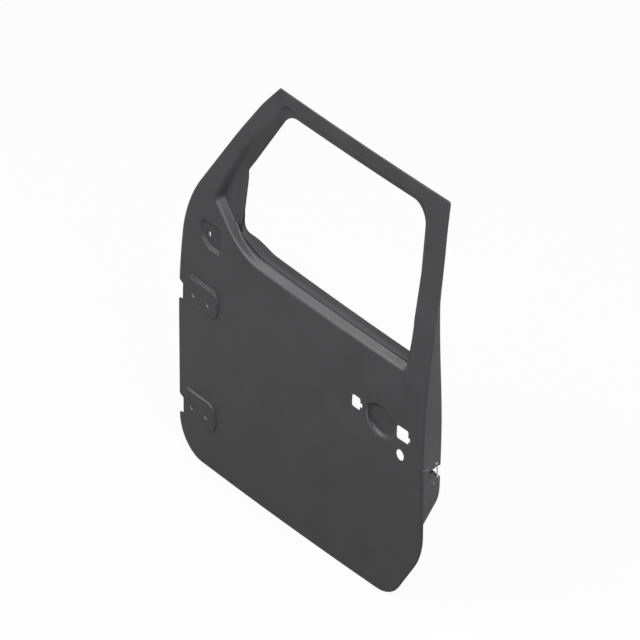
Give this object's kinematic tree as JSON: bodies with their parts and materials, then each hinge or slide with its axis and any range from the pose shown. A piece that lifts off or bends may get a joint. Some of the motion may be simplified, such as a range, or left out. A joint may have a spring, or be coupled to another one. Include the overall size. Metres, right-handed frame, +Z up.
{
  "type": "car door shell",
  "caption": "Bare front car door shell in dark primer: pressed outer skin with raised hinge seats and framed window, and a hemmed inner panel with service holes.",
  "frame": {"origin": "a point in the middle of the upper hinge seat, on its outer surface", "axes": "+X along the door from the hinge edge to the latch edge, +Y from the outer face into the car, +Z up"},
  "size_m": [1.012, 0.1092, 1.1446],
  "materials": {
    "outer_primer": "dark grey dip primer, low satin",
    "inner_primer": "dark grey dip primer, low satin",
    "bracket_primer": "dark grey dip primer, low satin",
    "beam_primer": "dark grey dip primer on drawn tube",
    "plate_primer": "dark grey dip primer",
    "nut_zinc": "zinc plated",
    "pad_mastic": "matt mastic"
  },
  "bodies": {
    "root": {"beam_bracket_front": "bracket_primer", "beam_bracket_rear": "bracket_primer", "belt_inner_rail": "bracket_primer", "belt_outer_rail": "bracket_primer", "check_strap_reinforcement": "plate_primer", "front_channel_bracket": "bracket_primer", "front_glass_channel": "bracket_primer", "handle_reinforcement": "bracket_primer", "inner_panel": "inner_primer", "latch_reinforcement": "plate_primer", "lower_hinge_reinforcement": "plate_primer", "lower_hinge_tapped_plate": "plate_primer", "mastic_pad_1": "pad_mastic", "mastic_pad_2": "pad_mastic", "mirror_reinforcement": "bracket_primer", "outer_panel": "outer_primer", "pull_handle_bracket": "bracket_primer", "rear_channel_bracket": "bracket_primer", "rear_glass_channel": "bracket_primer", "side_impact_beam": "beam_primer", "upper_hinge_reinforcement": "plate_primer", "upper_hinge_tapped_plate": "plate_primer", "weld_nut_1": "nut_zinc", "weld_nut_2": "nut_zinc", "weld_nut_3": "nut_zinc", "weld_nut_4": "nut_zinc"}
  },
  "joints": []
}
